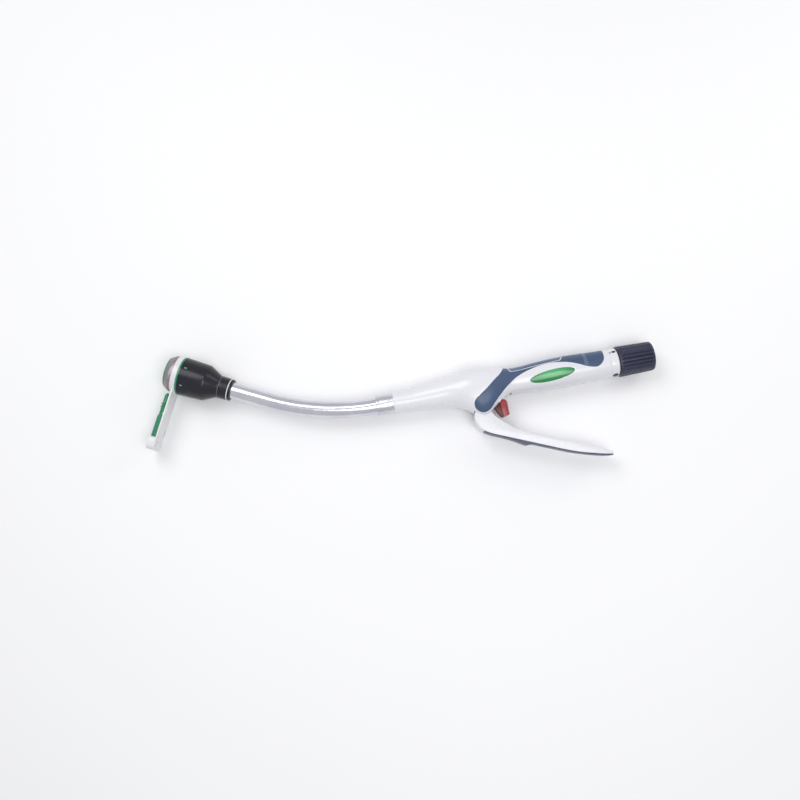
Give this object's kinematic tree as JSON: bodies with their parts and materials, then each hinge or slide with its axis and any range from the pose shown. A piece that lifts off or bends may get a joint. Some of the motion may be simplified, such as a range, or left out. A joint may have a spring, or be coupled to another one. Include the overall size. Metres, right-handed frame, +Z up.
{
  "type": "circular surgical stapler",
  "caption": "Hand-held circular stapler with a bent shaft, a turning knob that opens its anvil, a squeeze lever and a safety catch, lying on its side.",
  "frame": {"origin": "on the bench plane, in the middle of the flat flank beside the lever pivot", "axes": "+X along the handle from the head end to the knob, +Y towards the back of the grip, +Z up from the bench"},
  "size_m": [0.4356, 0.15, 0.033],
  "materials": {
    "shell_white": "satin moulded",
    "inlay_blue": "soft matte",
    "badge_green": "gloss",
    "window_clear": "clear",
    "scale_white": "matte",
    "pointer_orange": "gloss",
    "knob_navy": "satin moulded",
    "mark_black": "printed",
    "screw_steel": "machined",
    "sleeve_bronze": "machined",
    "lever_white": "satin moulded",
    "pad_blue": "soft matte",
    "catch_red": "satin moulded",
    "inner_grey": "moulded",
    "yoke_dark": "moulded",
    "spring_steel": "drawn wire",
    "tube_silver": "bright, lightly drawn",
    "sleeve_silver": "satin",
    "head_black": "gloss moulded",
    "cartridge_green": "satin moulded",
    "driver_ivory": "moulded",
    "blade_steel": "ground",
    "staple_titanium": "drawn wire",
    "anvil_steel": "bead blasted",
    "washer_white": "moulded",
    "cap_white": "slightly translucent",
    "tip_green": "satin moulded"
  },
  "bodies": {
    "handle": {"handle_shell_upper": "shell_white", "handle_shell_lower": "shell_white", "grip_inlay_upper": "inlay_blue", "grip_inlay_lower": "inlay_blue", "badge_upper": "badge_green", "badge_lower": "badge_green", "indicator_window": "window_clear", "indicator_scale": "scale_white", "rear_collar": "shell_white", "turn_marks": "mark_black", "shell_screws": "screw_steel", "thrust_washer": "screw_steel", "lever_pin": "screw_steel", "safety_pin": "screw_steel", "return_spring": "spring_steel", "tube_clamp": "screw_steel", "shaft_tube": "tube_silver", "socket_tube": "tube_silver", "tube_sleeve": "sleeve_silver", "lock_ring": "head_black", "head_shell": "head_black", "staple_cartridge": "cartridge_green", "staples": "staple_titanium"},
    "knob": {"knob": "knob_navy", "knob_cap": "knob_navy", "knob_sleeve": "sleeve_bronze"},
    "screw": {"lead_screw": "screw_steel", "indicator_pointer": "pointer_orange", "tension_band": "spring_steel"},
    "trocar": {"trocar": "blade_steel"},
    "anvil": {"anvil_shaft": "blade_steel", "anvil_face": "anvil_steel", "anvil_head": "anvil_steel", "cutting_washer": "washer_white", "anvil_cap": "cartridge_green"},
    "lever": {"firing_lever": "lever_white", "lever_pad": "pad_blue"},
    "safety": {"safety_catch": "catch_red"},
    "rod": {"push_rod": "inner_grey", "firing_yoke": "yoke_dark"},
    "pusher": {"flexible_pusher": "inner_grey"},
    "driver": {"driver_stem": "inner_grey", "staple_driver": "driver_ivory", "circular_knife": "blade_steel"},
    "cap": {"retaining_cap": "cap_white"},
    "tip": {"trocar_tip": "tip_green"}
  },
  "joints": [
    {"name": "knob_turn", "type": "hinge", "parent": "handle", "child": "knob", "pos_m": [0.12, 0, 0.0165], "axis": [1, 0, 0], "range_deg": [0, 2160]},
    {"name": "screw_travel", "type": "slide", "parent": "handle", "child": "screw", "axis": [-1, 0, 0], "range_m": [0, 0.024], "deforming": ["tension_band"]},
    {"name": "anvil_travel", "type": "slide", "parent": "handle", "child": "trocar", "axis": [-0.8949, 0.4462, 0], "range_m": [0, 0.024]},
    {"name": "anvil_detach", "type": "slide", "parent": "trocar", "child": "anvil", "axis": [-0.8949, 0.4462, 0], "range_m": [0, 0.03]},
    {"name": "lever_squeeze", "type": "hinge", "parent": "handle", "child": "lever", "pos_m": [-0.002, -0.016, 0.0165], "axis": [0, 0, 1], "range_deg": [0, 22], "stiffness_Nm_per_rad": 0.6, "springref_deg": -5.73},
    {"name": "rod_travel", "type": "slide", "parent": "handle", "child": "rod", "axis": [-1, 0, 0], "range_m": [0, 0.0052], "deforming": ["return_spring"]},
    {"name": "pusher_travel", "type": "hinge", "parent": "handle", "child": "pusher", "pos_m": [-0.09, 0.2, 0.0165], "axis": [0, 0, -1], "range_deg": [0, 1.49]},
    {"name": "driver_travel", "type": "slide", "parent": "handle", "child": "driver", "axis": [-0.8949, 0.4462, 0], "range_m": [0, 0.0052], "deforming": ["staples"]},
    {"name": "safety_flip", "type": "hinge", "parent": "handle", "child": "safety", "pos_m": [0.012, -0.015, 0.0165], "axis": [0, 0, 1], "range_deg": [0, 62]},
    {"name": "cap_pull", "type": "slide", "parent": "handle", "child": "cap", "axis": [-0.4462, -0.8949, 0], "range_m": [0, 0.045]},
    {"name": "tip_unclip", "type": "slide", "parent": "cap", "child": "tip", "axis": [-0.8949, 0.4462, 0], "range_m": [0, 0.015]}
  ],
  "couplings": [
    {"joint": "screw_travel", "follows": "knob_turn", "m_per_rad": 0.00063662},
    {"joint": "anvil_travel", "follows": "knob_turn", "m_per_rad": 0.00063662},
    {"joint": "rod_travel", "follows": "lever_squeeze", "m_per_rad": 0.013541},
    {"joint": "pusher_travel", "follows": "lever_squeeze", "ratio": 0.067706},
    {"joint": "driver_travel", "follows": "lever_squeeze", "m_per_rad": 0.013541}
  ]
}
